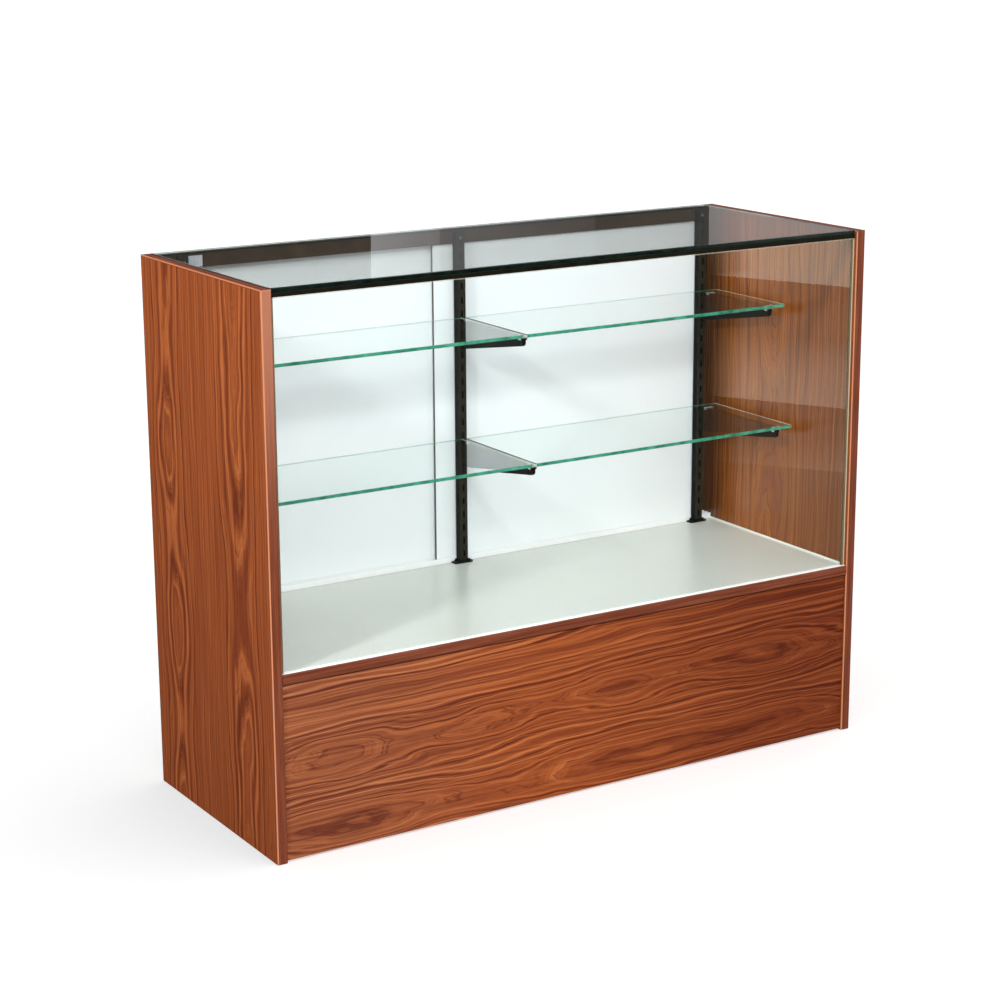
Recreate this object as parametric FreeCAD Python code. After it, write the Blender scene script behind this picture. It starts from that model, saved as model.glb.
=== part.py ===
import FreeCAD, Part
import os

# Overall sizes of the counter in millimetres: X along the counter, +Y to the clerk's side, Z up
case_length = 1219.0
case_depth = 461.0
case_height = 957.0

# Boards and their edge bands
panel_thickness = 19.0
board_thickness = 18.0
band_thickness = 3.0
band_round = 2.4
rear_band_thickness = 1.0

# Base: display deck, kick panel and the storage bay behind it
deck_height = 326.5
kick_recess = 4.5
floor_clearance = 3.0
storage_floor_height = 78.0
storage_rear_setback = 12.0

# Glass panes
glass_thickness = 6.0
glass_seam = 0.7
front_glass_setback = 9.0
front_glass_end_gap = 1.9
top_glass_end_gap = 2.5
top_glass_rear_setback = 1.0

# Groove and vinyl that hold the front pane
sill_groove_depth = 5.0
glazing_clearance = 0.5
setting_strip_thickness = 1.5
seal_base = 1.4
seal_lip_thickness = 1.0
seal_lip_length = 4.0
seal_clearance = 0.15
top_seal_height = 1.8
deck_bead = 3.0
gasket_clearance = 0.2
tape_thickness = 0.8
tape_width = 12.0

# Front channel, an extrusion that caps the front pane and carries the top pane
channel_wall = 2.0
channel_drop = 7.2
channel_seat_width = 20.0
channel_lip_drop = 4.0
pane_top_clearance = 1.0

# Door tracks: upper rail extrusion and lower plastic track share these
door_thickness = 6.0
door_side_clearance = 1.0
track_wall = 2.5
track_rear_depth = 35.5
rail_height = 23.6
rail_top_wall = 2.0
rail_end_gap = 11.0
rail_seat_overhang = 10.0
rail_lip_drop = 5.0
end_block_height = 8.5
end_block_inset = 4.0
track_height = 10.4
track_floor = 2.0

# Sliding doors
door_overlap = 40.0
right_door_open = 30.0
door_end_clearance = 1.5
door_foot_clearance = 0.3
door_top_engagement = 7.0
cup_edge_distance = 42.0
cup_radius = 13.0
cup_wall = 1.5
cup_floor = 0.8
cup_flange_radius = 16.5
cup_flange_thickness = 1.0
cup_hole_clearance = 0.15
cup_door_skin = 1.2

# Slotted standards
standard_width = 17.5
standard_depth = 13.5
standard_wall = 1.6
standard_round = 1.4
standard_return = 3.0
standard_end_distance = 40.0
standard_top_gap = 1.5
slot_width = 3.8
slot_height = 12.7
slot_pitch = 25.4
slot_start = 18.4
slot_top_margin = 6.0

# Feet of the standards
foot_width = 40.5
foot_plate = 2.5
foot_front_reach = 2.4
foot_corner = 6.0
foot_socket_wall = 2.0
foot_socket_height = 5.0
foot_rib_thickness = 2.5
foot_rib_length = 3.5
foot_clearance = 0.2

# Shelf brackets, and the slot, counted up from the lowest as 0, that takes the upper hook of each row
shelf_slots = {"upper": 17, "lower": 8}
bracket_web = 6.0
bracket_flange_width = 13.0
bracket_flange = 3.5
bracket_root_height = 52.5
bracket_tip_height = 14.5
bracket_tip_cut = 4.0
bracket_nose_round = 2.8
bracket_rise_over_slot = 6.5
bracket_tip_setback = 2.0
bracket_clearance = 0.2
hook_thickness = 3.2
hook_neck = 7.0
hook_drop = 5.0
hook_tongue = 3.0

# Clear saddle pads on the brackets
pad_width = 18.0
pad_length = 7.0
pad_thickness = 1.0
pad_skirt = 3.0
pad_skirt_thickness = 1.4
pad_skirt_clearance = 0.1
pad_from_front = 7.0
pad_from_rear = 23.0

# Glass shelves
upper_shelf_depth = 211.5
lower_shelf_depth = 242.0
shelf_rear_gap = 4.0
shelf_middle_gap = 8.0
shelf_end_gap = 7.5
shelf_glass = 6.0

# Screws and knock-down fittings
screw_radius = 1.6
screw_head_radius = 3.6
screw_crown_radius = 2.8
screw_head_height = 2.0
screw_hole_clearance = 0.15
recess_length = 3.6
recess_width = 0.8
recess_depth = 1.0
cam_radius = 7.5
cam_skin = 4.5
cam_setback = 34.0
cam_edge_distance = 60.0
cam_clearance = 0.15
cam_slot_length = 10.5
cam_slot_width = 2.0
cam_slot_depth = 3.0
bolt_radius = 3.0
bolt_depth = 11.0
cleat_length = 60.0
cleat_depth = 18.0
clip_length = 31.0
clip_height = 19.5
clip_thickness = 1.0
clip_rise = 1.5

# Planes and places worked out from the sizes
half_length = case_length / 2
inner = half_length - panel_thickness
front = -case_depth / 2
rear = case_depth / 2
deck_under = deck_height - board_thickness
deck_front = front + band_thickness
deck_rear = rear - band_thickness
pane_front = front + front_glass_setback
pane_rear = pane_front + glass_thickness
pane_end = inner - front_glass_end_gap
top_pane_under = case_height - glass_thickness
rail_top = top_pane_under - tape_thickness
rail_under = rail_top - rail_height
rail_front = rear - track_rear_depth
groove = door_thickness + 2 * door_side_clearance
groove_step = groove + track_wall
front_door_face = rail_front + track_wall + door_side_clearance
rear_door_face = front_door_face + groove_step
track_rear = rail_front + 2 * groove_step + track_wall
channel_under = rail_top - channel_drop
pocket_front = pane_front - glazing_clearance
pocket_rear = pane_rear + glazing_clearance
channel_front = pocket_front - channel_wall
standard_rear = rail_front
standard_front = standard_rear - standard_depth
standard_foot_level = deck_height + foot_plate
standard_top = top_pane_under - standard_top_gap
end_standard = inner - standard_end_distance
standard_places = {"left": -end_standard, "centre": 0.0, "right": end_standard}
top_screw_height = (rail_top + rail_under) / 2
shelf_rear = standard_front - shelf_rear_gap
shelf_depths = {"upper": upper_shelf_depth, "lower": lower_shelf_depth}
foot_front = standard_front - foot_front_reach
foot_rear = standard_rear - foot_clearance

os.makedirs("parts", exist_ok=True)
X = FreeCAD.Vector(1, 0, 0)
Y = FreeCAD.Vector(0, 1, 0)
Z = FreeCAD.Vector(0, 0, 1)


def save(name, shape):
    shape.exportStep("parts/" + name + ".step")


def block(x0, x1, y0, y1, z0, z1):
    return Part.makeBox(x1 - x0, y1 - y0, z1 - z0, FreeCAD.Vector(x0, y0, z0))


def rod(x, y, z, radius, length, direction):
    return Part.makeCylinder(radius, length, FreeCAD.Vector(x, y, z), direction)


def joined(shapes):
    return shapes[0].fuse(shapes[1:]).removeSplitter()


def group(shapes):
    return Part.makeCompound(shapes)


def mirrored(shape):
    return shape.mirror(FreeCAD.Vector(0, 0, 0), X)


def section_yz(points, x0, x1):
    # A closed outline of (y, z) points drawn out along X
    corners = [FreeCAD.Vector(x0, y, z) for y, z in points]
    face = Part.Face(Part.makePolygon(corners + corners[:1]))
    return face.extrude(X * (x1 - x0))


def section_xy(points, z0, z1):
    # A closed outline of (x, y) points drawn up along Z
    corners = [FreeCAD.Vector(x, y, z0) for x, y in points]
    face = Part.Face(Part.makePolygon(corners + corners[:1]))
    return face.extrude(Z * (z1 - z0))


def edges_where(shape, test):
    return [e for e in shape.Edges if all(test(v.Point) for v in e.Vertexes)]


def near(a, b):
    return abs(a - b) < 1e-6


def pane(x0, x1, y0, y1, z0, z1):
    # Cut glass with all its arrises seamed
    sheet = block(x0, x1, y0, y1, z0, z1)
    return sheet.makeChamfer(glass_seam, sheet.Edges)


# End panels: laminated boards with thick bands on the front, top and rear edges
def end_panel():
    board = block(-half_length, -inner, front + band_thickness, rear - band_thickness,
                  0, case_height - band_thickness)
    bores = [rod(-inner, y, z, bolt_radius + cam_clearance, bolt_depth + cam_clearance, -X)
             for y, z in bolt_places()]
    return board.cut(bores)


def upright_band(y_out, y_in):
    band = block(-half_length, -inner, min(y_out, y_in), max(y_out, y_in), 0, case_height)
    arris = edges_where(band, lambda p: near(p.y, y_out))
    arris = [e for e in arris if not all(near(v.Z, 0) for v in e.Vertexes)]
    return band.makeFillet(band_round, arris)


def top_band():
    band = block(-half_length, -inner, front + band_thickness, rear - band_thickness,
                 case_height - band_thickness, case_height)
    arris = edges_where(band, lambda p: near(p.z, case_height))
    arris = [e for e in arris if not near(e.Vertexes[0].Y, e.Vertexes[1].Y)]
    return band.makeFillet(band_round, arris)


def bolt_places():
    # Y and Z of the bolts that tie the deck to each end panel
    deck_line = deck_height - board_thickness / 2
    return [(y, deck_line) for y in (deck_front + cam_edge_distance, deck_rear - cam_edge_distance)]


left_end = {
    "end_panel": end_panel(),
    "front_edge_band": upright_band(front, front + band_thickness),
    "rear_edge_band": upright_band(rear, rear - band_thickness),
    "top_edge_band": top_band(),
}
for piece, shape in left_end.items():
    save("left_" + piece, shape)
    save("right_" + piece, mirrored(shape))


# Cam fittings: zinc cams under the deck turn onto bolts set in the end panels
def cam_places():
    # Mouth of each cam pocket at the left end
    return [FreeCAD.Vector(cam_setback - inner, y, deck_under) for y, z in bolt_places()]


def cam_pocket(mouth, radius, depth):
    return rod(mouth.x, mouth.y, mouth.z, radius, depth, Z)


def drive_slot(centre, along, across, length, width, depth):
    # A straight slot for a screwdriver, sunk from its centre by the depth vector
    corner = centre - along * (length / 2) - across * (width / 2)
    end = corner + along * length
    outline = [corner, end, end + across * width, corner + across * width]
    return Part.Face(Part.makePolygon(outline + outline[:1])).extrude(depth)


def cam(mouth):
    body = cam_pocket(mouth, cam_radius, board_thickness - cam_skin)
    return body.cut(drive_slot(mouth, X, Y, cam_slot_length, cam_slot_width, Z * cam_slot_depth))


def both_ends(shapes):
    return shapes + [mirrored(s) for s in shapes]


bolt_reach = cam_setback - cam_radius - cam_clearance
bolts = [rod(-inner - bolt_depth, y, z, bolt_radius, bolt_depth + bolt_reach, X) for y, z in bolt_places()]
bolt_bores = [rod(-inner, y, z, bolt_radius + cam_clearance, cam_setback, X) for y, z in bolt_places()]
pockets = [cam_pocket(p, cam_radius + cam_clearance, board_thickness - cam_skin + cam_clearance)
           for p in cam_places()]
save("cam_locks", group(both_ends([cam(p) for p in cam_places()])))
save("cam_bolts", group(both_ends(bolts)))


# Display deck with the sill groove and the cam pockets
deck = block(-inner, inner, deck_front, deck_rear - rear_band_thickness, deck_under, deck_height)
sill_groove = block(-inner, inner, pocket_front, pocket_rear, deck_height - sill_groove_depth, deck_height)
save("display_deck", deck.cut([sill_groove] + both_ends(bolt_bores + pockets)))

deck_edge = block(-inner, inner, front, deck_front, deck_under, deck_height)
deck_arris = [e for e in edges_where(deck_edge, lambda p: near(p.y, front)) if e.Length > case_length / 2]
save("deck_front_edge_band", deck_edge.makeFillet(band_round, deck_arris))
save("deck_rear_edge_band",
     block(-inner, inner, deck_rear - rear_band_thickness, deck_rear, deck_under, deck_height))

# Kick panel, storage floor, the rail under its rear edge and the cleats in its front corners
kick_front = front + kick_recess
kick_rear = kick_front + board_thickness
save("front_kick_panel", block(-inner, inner, kick_front, kick_rear, floor_clearance, deck_under))
storage_under = storage_floor_height - board_thickness
storage_rear = rear - storage_rear_setback
save("storage_floor", block(-inner, inner, kick_rear, storage_rear, storage_under, storage_floor_height))
save("storage_floor_rail",
     block(-inner, inner, storage_rear - board_thickness, storage_rear, floor_clearance, storage_under))
cleat = block(-inner, cleat_length - inner, kick_rear, kick_rear + cleat_depth,
              floor_clearance, storage_under)
save("kick_cleats", group(both_ends([cleat])))

# Front pane on its setting strip, with a vinyl channel on each upright edge and a vinyl strip along the top
strip_top = deck_height - sill_groove_depth + setting_strip_thickness
pane_top = rail_top - channel_wall - pane_top_clearance
save("front_glass", pane(-pane_end, pane_end, pane_front, pane_rear, strip_top, pane_top))
save("front_glass_setting_strip",
     block(-inner, inner, pane_front, pane_rear, deck_height - sill_groove_depth, strip_top))
lip_end = seal_base + seal_lip_length
lip_front = pane_front - seal_clearance
lip_rear = pane_rear + seal_clearance
seal_front = lip_front - seal_lip_thickness
seal_rear = lip_rear + seal_lip_thickness
seal = section_xy([(-inner, seal_front), (lip_end - inner, seal_front),
                   (lip_end - inner, lip_front), (seal_base - inner, lip_front),
                   (seal_base - inner, lip_rear), (lip_end - inner, lip_rear),
                   (lip_end - inner, seal_rear), (-inner, seal_rear)],
                  deck_height, channel_under)
save("left_glass_seal", seal)
save("right_glass_seal", mirrored(seal))
save("front_glass_top_seal",
     block(lip_end - inner, inner - lip_end, channel_front, lip_front,
           channel_under - top_seal_height, channel_under))

# Front channel: pocket over the pane, seat for the top pane and a stiffening lip
seat_rear = channel_front + channel_seat_width
seat_under = rail_top - channel_wall
lip_under = seat_under - channel_lip_drop
save("front_top_channel", section_yz([
    (channel_front, channel_under), (pocket_front, channel_under), (pocket_front, seat_under),
    (pocket_rear, seat_under), (pocket_rear, channel_under),
    (pocket_rear + channel_wall, channel_under), (pocket_rear + channel_wall, seat_under),
    (seat_rear - channel_wall, seat_under), (seat_rear - channel_wall, lip_under),
    (seat_rear, lip_under), (seat_rear, rail_top), (channel_front, rail_top)],
    -inner, inner))

# Top pane on glazing tape, with a gasket along each end panel
top_end = inner - top_glass_end_gap
top_rear = rear - top_glass_rear_setback
save("top_glass", pane(-top_end, top_end, channel_front, top_rear, top_pane_under, case_height))
tape_front = channel_front + channel_wall
rail_tape_front = rail_front + track_wall
save("front_glazing_tape",
     block(-top_end, top_end, tape_front, tape_front + tape_width, rail_top, top_pane_under))
save("rear_glazing_tape",
     block(rail_end_gap - inner, inner - rail_end_gap, rail_tape_front, rail_tape_front + tape_width,
           rail_top, top_pane_under))
gasket = block(-inner, -top_end - gasket_clearance, channel_front, top_rear,
               rail_top + gasket_clearance, case_height)
save("left_top_gasket", gasket)
save("right_top_gasket", mirrored(gasket))


# White bead in the corner between the deck and each end panel
bead_corner = FreeCAD.Vector(-inner, seal_rear, deck_height)
bead_points = [bead_corner, bead_corner + X * deck_bead, bead_corner + Z * deck_bead]
bead = Part.Face(Part.makePolygon(bead_points + bead_points[:1])).extrude(Y * (rail_front - seal_rear))
save("deck_end_beads", group(both_ends([bead])))


# Door tracks: two grooves side by side, walls at the same places above and below
def groove_outline(mouth, floor):
    points = [(rail_front, mouth)]
    for n in range(2):
        near_side = rail_front + track_wall + n * groove_step
        far_side = near_side + groove
        points += [(near_side, mouth), (near_side, floor), (far_side, floor), (far_side, mouth)]
    return points + [(track_rear, mouth)]


rail_floor = rail_top - rail_top_wall
rail_back = track_rear + rail_seat_overhang
rail_end = inner - rail_end_gap
rail_outline = groove_outline(rail_under, rail_floor) + [
    (track_rear, rail_floor), (rail_back - rail_top_wall, rail_floor),
    (rail_back - rail_top_wall, rail_top - rail_lip_drop), (rail_back, rail_top - rail_lip_drop),
    (rail_back, rail_top), (rail_front, rail_top)]
rail = section_yz(rail_outline, -rail_end, rail_end)
top_screw_bores = [rod(x, rail_front, top_screw_height, screw_radius + screw_hole_clearance, track_wall, Y)
                   for x in standard_places.values()]
save("rear_top_rail", rail.cut(top_screw_bores))
track_outline = groove_outline(deck_height + track_height, deck_height + track_floor)
track_outline += [(track_rear, deck_height), (rail_front, deck_height)]
save("lower_door_track", section_yz(track_outline, -inner, inner))
end_block = block(-inner, -rail_end, rail_front + end_block_inset, rail_back - end_block_inset,
                  rail_top - end_block_height, rail_top)
save("rail_end_blocks", group(both_ends([end_block])))
clip_start = standard_places["left"] + standard_width / 2 + bracket_clearance
save("rail_clip_plate",
     block(clip_start, clip_start + clip_length, rail_front - clip_thickness, rail_front,
           rail_under + clip_rise, rail_under + clip_rise + clip_height))

# Sliding doors with finger cups pressed into blind pockets on the clerk's side
door_foot = deck_height + track_floor + door_foot_clearance
door_head = rail_under + door_top_engagement
door_outer = inner - door_end_clearance
door_inner = -door_overlap / 2
cup_height = (door_foot + door_head) / 2
cup_place = door_outer - cup_edge_distance


def door(face):
    panel = block(door_inner, door_outer, face, face + door_thickness, door_foot, door_head)
    pocket = rod(cup_place, face + cup_door_skin, cup_height, cup_radius + cup_hole_clearance,
                 door_thickness - cup_door_skin, Y)
    return panel.cut(pocket)


def finger_cup(face):
    back = face + door_thickness
    lip = back + cup_flange_thickness
    bore = cup_radius - cup_wall
    base = face + cup_door_skin + cup_hole_clearance
    outline = [(0, base), (cup_radius, base), (cup_radius, back), (cup_flange_radius, back),
               (cup_flange_radius, lip), (bore, lip), (bore, base + cup_floor), (0, base + cup_floor)]
    corners = [FreeCAD.Vector(cup_place + r, y, cup_height) for r, y in outline]
    face_shape = Part.Face(Part.makePolygon(corners + corners[:1]))
    return face_shape.revolve(FreeCAD.Vector(cup_place, 0, cup_height), Y, 360)


# The right door stands a little open, as it was found
slid = FreeCAD.Vector(-right_door_open, 0, 0)
save("right_door_panel", door(front_door_face).translated(slid))
save("right_finger_cup", finger_cup(front_door_face).translated(slid))
save("left_door_panel", mirrored(door(rear_door_face)))
save("left_finger_cup", mirrored(finger_cup(rear_door_face)))


# Slotted standards: a folded channel, open to the rear, with a row of slots in its face
def slot_centre(index):
    return deck_height + slot_start + index * slot_pitch


def slot_count():
    room = standard_top - slot_top_margin - slot_height / 2 - slot_centre(0)
    return int(room // slot_pitch)


def standard(x):
    half = standard_width / 2
    outer = block(x - half, x + half, standard_front, standard_rear, standard_foot_level, standard_top)
    corners = edges_where(outer, lambda p: near(p.y, standard_front))
    corners = [e for e in corners if e.Length > standard_width]
    outer = outer.makeFillet(standard_round, corners)
    hollow = block(x - half + standard_wall, x + half - standard_wall, standard_front + standard_wall,
                   standard_rear - standard_wall, standard_foot_level, standard_top)
    mouth = block(x - half + standard_wall + standard_return, x + half - standard_wall - standard_return,
                  standard_rear - standard_wall, standard_rear, standard_foot_level, standard_top)
    slots = [block(x - slot_width / 2, x + slot_width / 2, standard_front, standard_front + standard_wall,
                   slot_centre(n) - slot_height / 2, slot_centre(n) + slot_height / 2)
             for n in range(slot_count() + 1)]
    bore = rod(x, standard_front, top_screw_height, screw_radius + screw_hole_clearance, standard_wall, Y)
    return outer.cut([hollow, mouth, bore] + slots)


# Moulded feet: a flange on the deck, a socket round the standard and a rib on each side
def foot(x):
    half = foot_width / 2
    inside = standard_width / 2 + foot_clearance
    outside = inside + foot_socket_wall
    socket_top = standard_foot_level + foot_socket_height
    plate = block(x - half, x + half, foot_front, foot_rear, deck_height, standard_foot_level)
    corners = [e for e in plate.Edges if near(e.Length, foot_plate)]
    corners = [e for e in corners if near(e.Vertexes[0].Y, foot_front)]
    plate = plate.makeFillet(foot_corner, corners)
    wrap = block(x - outside, x + outside, foot_front, foot_rear, standard_foot_level, socket_top)
    room = block(x - inside, x + inside, standard_front - foot_clearance, foot_rear,
                 standard_foot_level, socket_top)
    ribs = []
    for side in (-1, 1):
        rib_wall = x + side * outside
        rib_foot = rib_wall + side * foot_rib_length
        outline = [(rib_wall, standard_foot_level), (rib_foot, standard_foot_level), (rib_wall, socket_top)]
        points = [FreeCAD.Vector(px, foot_rear - foot_rib_thickness, pz) for px, pz in outline]
        ribs.append(Part.Face(Part.makePolygon(points + points[:1])).extrude(Y * foot_rib_thickness))
    return joined([plate, wrap.cut(room)] + ribs)


for name, x in standard_places.items():
    save(name + "_standard", standard(x))
    save(name + "_standard_foot", foot(x))


# Cross-recess pan-head screws that hold the standards to the rail
def top_screw(x):
    base = FreeCAD.Vector(x, standard_front, top_screw_height)
    crown = base - Y * screw_head_height
    head = Part.makeCone(screw_crown_radius, screw_head_radius, screw_head_height, crown, Y)
    shank = Part.makeCylinder(screw_radius, standard_depth + track_wall, base, Y)
    recess = [drive_slot(crown, X, Z, recess_length, recess_width, Y * recess_depth),
              drive_slot(crown, Z, X, recess_length, recess_width, Y * recess_depth)]
    return joined([head, shank]).cut(recess)


save("standard_top_screws", group([top_screw(x) for x in standard_places.values()]))


# Shelf brackets: tapered web under a flange, with two hooks that drop behind the standard's face
def bracket_top(level):
    return slot_centre(shelf_slots[level]) + slot_height / 2 + bracket_rise_over_slot


def shelf_front(level):
    return shelf_rear - shelf_depths[level]


def bracket(x, level):
    top = bracket_top(level)
    root = standard_front - bracket_clearance
    tip = shelf_front(level) + bracket_tip_setback
    web = section_yz([(root, top), (tip, top), (tip, top - bracket_tip_height + bracket_tip_cut),
                      (tip + bracket_tip_cut, top - bracket_tip_height), (root, top - bracket_root_height)],
                     x - bracket_web / 2, x + bracket_web / 2)
    half = bracket_flange_width / 2
    flange = block(x - half, x + half, tip, root, top - bracket_flange, top)
    nose = [e for e in flange.Edges if near(e.Length, bracket_flange) and near(e.Vertexes[0].Y, tip)]
    flange = flange.makeFillet(bracket_nose_round, nose)
    behind = standard_front + standard_wall + bracket_clearance
    hook_end = behind + hook_tongue
    hooks = []
    for n in range(2):
        seat = slot_centre(shelf_slots[level] - n) - slot_height / 2
        outline = [(root, seat), (behind, seat), (behind, seat - hook_drop), (hook_end, seat - hook_drop),
                   (hook_end, seat + hook_neck), (root, seat + hook_neck)]
        hooks.append(section_yz(outline, x - hook_thickness / 2, x + hook_thickness / 2))
    return joined([web, flange] + hooks)


def pad(x, y, level):
    top = bracket_top(level)
    plate = block(x - pad_width / 2, x + pad_width / 2, y - pad_length / 2, y + pad_length / 2,
                  top, top + pad_thickness)
    side = bracket_flange_width / 2 + pad_skirt_clearance
    skirts = [block(min(x + s * side, x + s * (side + pad_skirt_thickness)),
                    max(x + s * side, x + s * (side + pad_skirt_thickness)),
                    y - pad_length / 2, y + pad_length / 2, top - pad_skirt, top) for s in (-1, 1)]
    return joined([plate] + skirts)


pads = []
for level in shelf_slots:
    for name, x in standard_places.items():
        save(name + "_" + level + "_bracket", bracket(x, level))
        pads.append(pad(x, shelf_front(level) + pad_from_front, level))
        pads.append(pad(x, shelf_rear - pad_from_rear, level))
save("shelf_pads", group(pads))

# Glass shelves, one pair on each row of brackets
for level in shelf_slots:
    seat = bracket_top(level) + pad_thickness
    shelf = pane(shelf_middle_gap / 2, inner - shelf_end_gap, shelf_front(level), shelf_rear,
                 seat, seat + shelf_glass)
    save("right_" + level + "_shelf", shelf)
    save("left_" + level + "_shelf", mirrored(shelf))
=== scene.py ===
import bpy
import bmesh
import math
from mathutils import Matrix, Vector

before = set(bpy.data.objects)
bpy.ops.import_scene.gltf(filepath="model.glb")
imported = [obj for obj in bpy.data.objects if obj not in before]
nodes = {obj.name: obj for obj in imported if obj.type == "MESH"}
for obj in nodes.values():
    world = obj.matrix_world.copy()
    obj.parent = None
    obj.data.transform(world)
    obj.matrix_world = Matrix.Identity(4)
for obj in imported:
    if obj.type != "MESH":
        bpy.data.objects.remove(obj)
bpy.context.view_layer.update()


def reach(name, axis):
    """Lowest and highest place of a node along one axis at rest, in metres."""
    places = [corner["xyz".index(axis)] for corner in nodes[name].bound_box]
    return min(places), max(places)


def linear(red, green, blue):
    """An sRGB colour from 0 to 255 as the linear values that shaders take."""
    def one(value):
        value /= 255.0
        return value / 12.92 if value <= 0.04045 else ((value + 0.055) / 1.055) ** 2.4
    return (one(red), one(green), one(blue))


def scaled(values, factor):
    return tuple(value * factor for value in values)


# Camera as the photograph was taken, in metres and degrees
CAMERA_PLACE = (-2.19236, -3.46930, 1.54196)
CAMERA_TURN = (75.5895, 0.2983, -31.9971)
CAMERA_LENS = 84.211
CAMERA_FAR = 100.0
SENSOR = 36.0
LIGHT_BOUNCES = 24

# Floor and backdrop
FLOOR_SIZE = 120.0
FLOOR_DROP = 0.0004
FLOOR_ALBEDO = 0.93
FLOOR_MOTTLE = 0.01
FLOOR_GLOW = 0.46
FLOOR_ROUGH = 0.85
FLOOR_GLOSS = 0.1
FLOOR_MIRRORED = (0.02, 0.02, 0.02)
BACKDROP = 1.2

# Light dome: an even share, then lobes by direction, sharpness and strength
SKY = 0.12
SKY_LOBES = [
    ((0.50, -0.20, 1.0), 2.0, 0.75),
    ((-0.05, -1.0, 0.40), 1.5, 0.54),
    ((-1.0, -0.30, 0.30), 2.0, 0.50),
    ((0.53, 0.85, 0.14), 6.0, -0.10),
]

# Soft lamps: place, aim and size in metres, power in watts
LAMPS = {
    "left_key": ((-2.97, -1.29, 2.63), (-0.35, -0.05, 0.50), (0.36, 0.36), 74.0),
    "front_softbox": ((-1.60, -7.00, 5.42), (0.10, 0.20, 0.62), (3.0, 0.95), 420.0),
}

# Glowing cards show as bands on the front pane and as patches on the top pane
AMBER = (1.00, 0.68, 0.40)
TAN = (1.00, 0.86, 0.68)
CREAM = (1.00, 0.99, 0.82)
COOL = (0.98, 1.00, 1.04)
# Edges between the bands from the bottom up: left and right end on the front pane, x and z
BAND_EDGES = [
    ((0.289, 0.308), (0.751, 0.176)),
    ((0.271, 0.571), (0.760, 0.469)),
    ((0.262, 0.690), (0.763, 0.591)),
    ((0.259, 0.810), (0.760, 0.721)),
    ((0.257, 0.906), (0.758, 0.825)),
    ((0.234, 0.999), (1.001, 0.910)),
]
# Tone of each band, and its glow at the lower left, lower right, upper right and upper left
BANDS = {
    "low_card": (AMBER, (0.0, 0.0, 0.2, 0.2)),
    "near_card": (AMBER, (0.5, 1.5, 0.0, 0.0)),
    "middle_card": (TAN, (2.4, 1.5, 0.25, 0.25)),
    "dusk_card": (TAN, (0.25, 0.25, 0.0, 0.0)),
    "far_card": (CREAM, (2.8, 2.3, 2.0, 2.2)),
}
# Share of the way across a card at each corner, and where the bands fade in
ACROSS = (0.0, 1.0, 1.0, 0.0)
FADE = (0.0, 0.17)
# Corners of each patch on the top pane, x and y, and its glow at each
PATCHES = {
    "window_card": (((-0.464, -0.321), (-0.335, -0.313), (-0.003, 0.250), (-0.109, 0.322)),
                    (0.60, 0.36, 0.36, 0.60)),
    "curtain_card": (((-0.335, -0.313), (-0.027, -0.294), (0.380, 0.303), (0.025, 0.297)),
                     (0.24, 0.10, 0.10, 0.24)),
    "side_card": (((0.196, -0.309), (0.452, -0.426), (0.912, 0.109), (0.648, 0.291)),
                  (0.46, 0.46, 0.46, 0.46)),
}
CEILING = 3.0

# Values that most noise stays between
NOISE_RANGE = (0.3, 0.7)


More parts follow.
